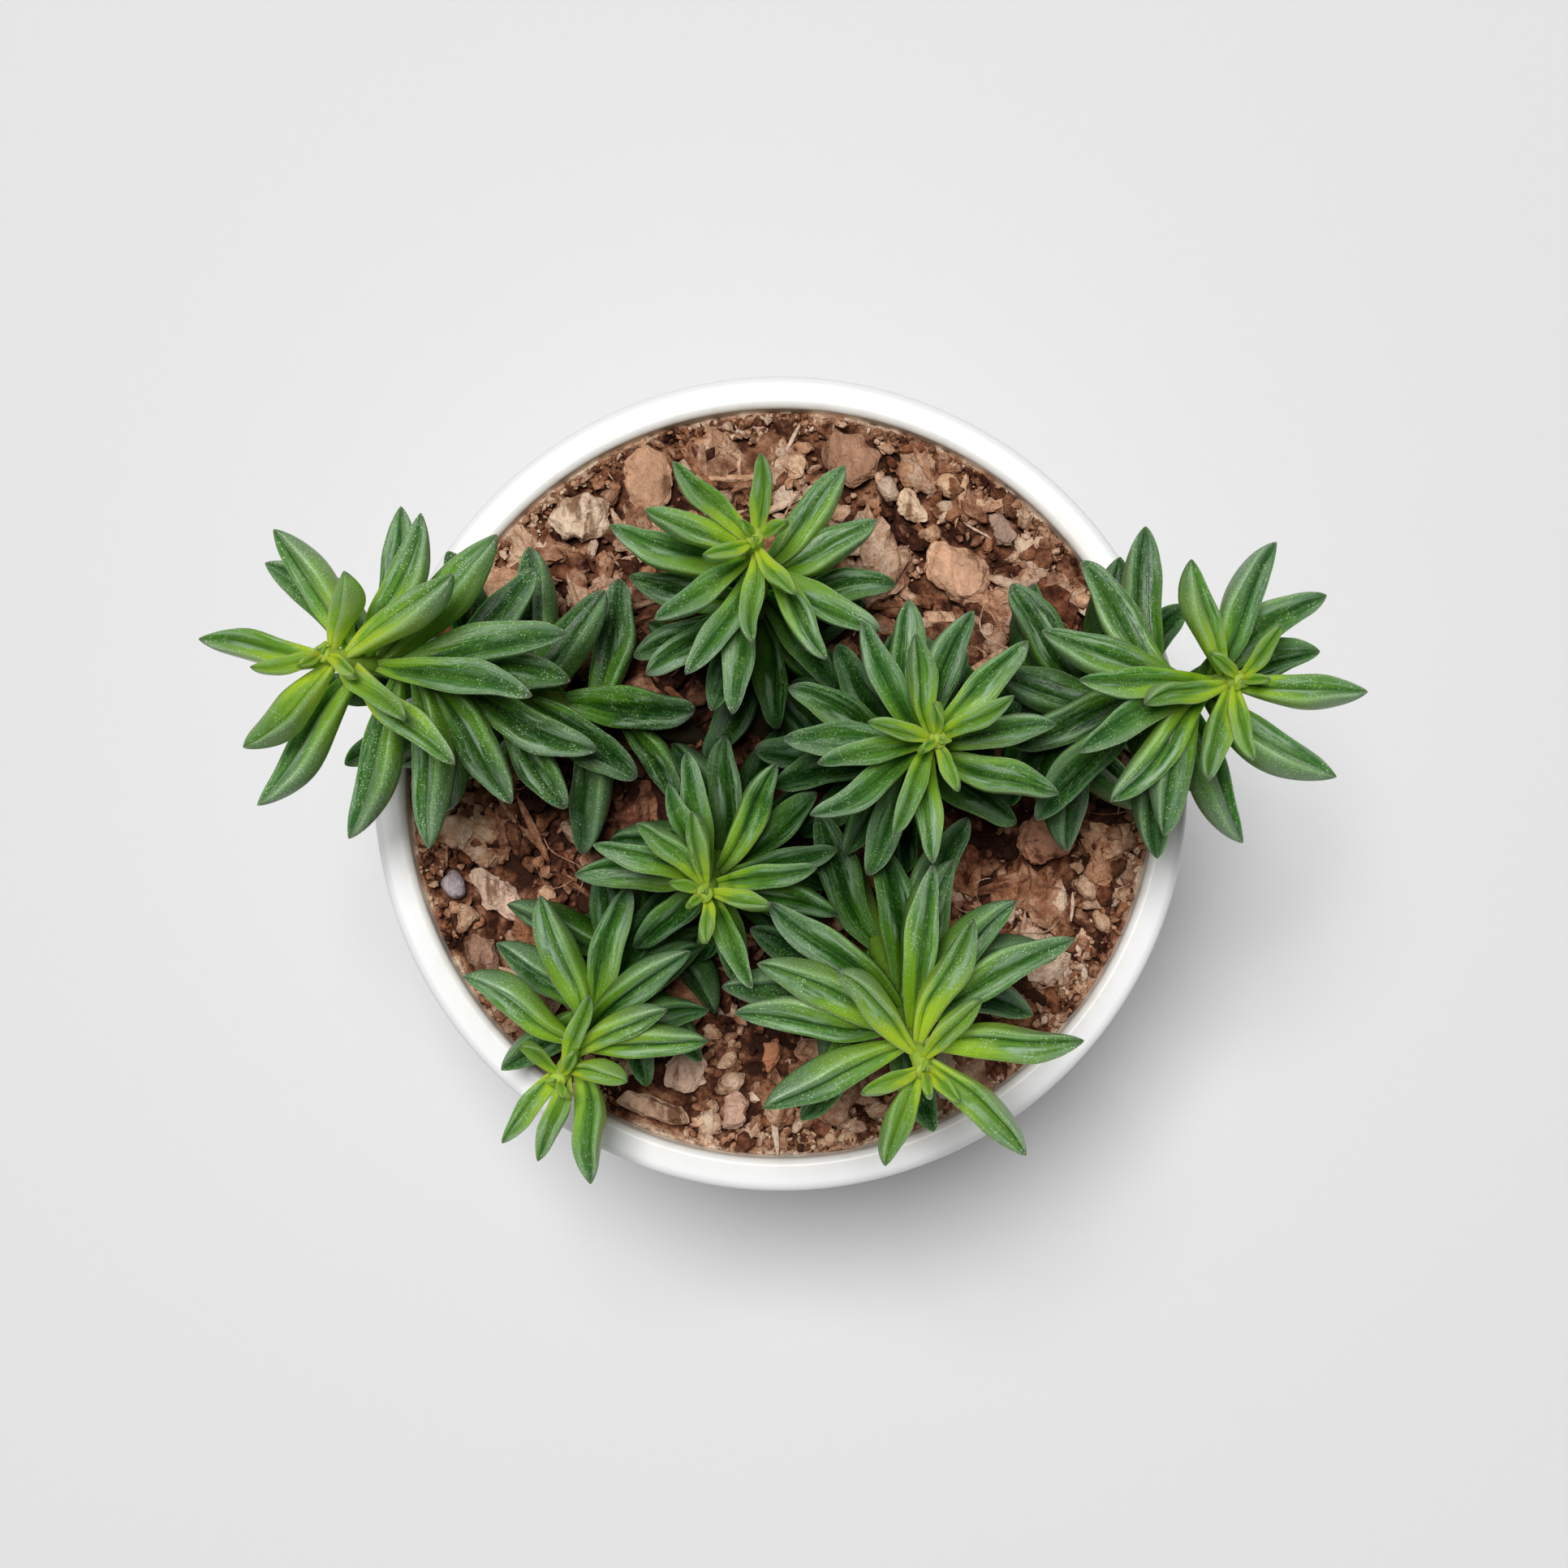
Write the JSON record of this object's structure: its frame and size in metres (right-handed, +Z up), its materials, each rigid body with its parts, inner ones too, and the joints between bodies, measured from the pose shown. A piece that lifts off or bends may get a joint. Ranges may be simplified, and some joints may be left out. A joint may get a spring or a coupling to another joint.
{
  "type": "potted peperomia dolabriformis",
  "caption": "Potted peperomia: leafy shoots of fleshy folded leaves rising from bark-rich soil in a round white pot with a rolled rim.",
  "frame": {"origin": "centre of the pot's flat base, on the surface it stands on", "axes": "+Z up along the pot's axis; +X to the right and +Y away from the viewer as the plant is usually shown"},
  "size_m": [0.1334, 0.105, 0.1397],
  "materials": {
    "pot_glaze": "smooth white glaze",
    "soil": "dark loose potting mix of bark and coir",
    "leaf": "fleshy green leaf with a satin skin",
    "bark_chip_pale": "rough",
    "bark_chip_brown": "rough",
    "bark_chip_back": "rough",
    "bark_flake": "rough",
    "bark_chip_grey": "rough",
    "bark_chip_orange": "rough",
    "pebble": "rough",
    "bark_chip_long": "rough",
    "bark_chip_ribbed": "rough",
    "soil_clod": "rough",
    "wood_stick": "rough",
    "bark_chip_square": "rough",
    "bark_block": "rough",
    "bark_sliver": "rough"
  },
  "bodies": {
    "root": {"pot": "pot_glaze", "soil": "soil", "bark_chip_pale": "bark_chip_pale", "bark_chip_brown": "bark_chip_brown", "bark_chip_back": "bark_chip_back", "bark_flake": "bark_flake", "bark_chip_grey": "bark_chip_grey", "bark_chip_orange": "bark_chip_orange", "pebble": "pebble", "bark_chip_long": "bark_chip_long", "bark_chip_ribbed": "bark_chip_ribbed", "soil_clod": "soil_clod", "wood_stick": "wood_stick", "bark_chip_square": "bark_chip_square", "bark_block": "bark_block", "bark_sliver": "bark_sliver", "shoot_left": "leaf", "shoot_right": "leaf", "shoot_back": "leaf", "shoot_middle": "leaf", "shoot_front": "leaf", "shoot_front_left": "leaf", "shoot_front_right": "leaf"}
  },
  "joints": []
}
